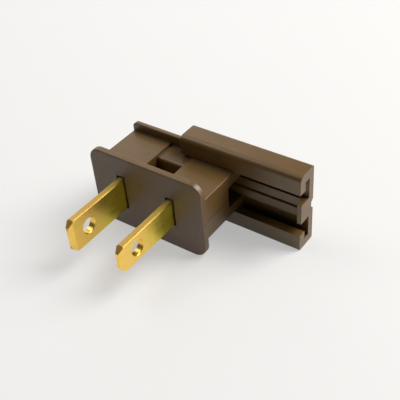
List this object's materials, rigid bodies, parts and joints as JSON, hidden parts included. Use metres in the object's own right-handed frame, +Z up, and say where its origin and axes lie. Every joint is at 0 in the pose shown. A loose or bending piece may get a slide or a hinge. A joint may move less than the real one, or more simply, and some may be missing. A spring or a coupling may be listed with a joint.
{
  "type": "slide-on cord plug",
  "caption": "Polarised mains plug with flat blades and a sliding back cover that presses flat cord onto piercing teeth, drawn with the cover part way off.",
  "frame": {"origin": "centre of the plate's front face, midway between the blades and at their mid-height", "axes": "+X along the plate, the way the cover slides off, +Y from the plate back to the cover, +Z up as the plug lies on a table"},
  "size_m": [0.0441, 0.0344, 0.0189],
  "materials": {
    "brown_plastic": "satin moulded",
    "blade_brass": "bright rolled"
  },
  "bodies": {
    "plug_body": {"body": "brown_plastic", "wide_blade": "blade_brass", "narrow_blade": "blade_brass"},
    "sliding_cover": {"cover": "brown_plastic"}
  },
  "joints": [
    {"name": "cover_slide", "type": "slide", "parent": "plug_body", "child": "sliding_cover", "axis": [1, 0, 0], "range_m": [-0.0152, 0.01]}
  ]
}
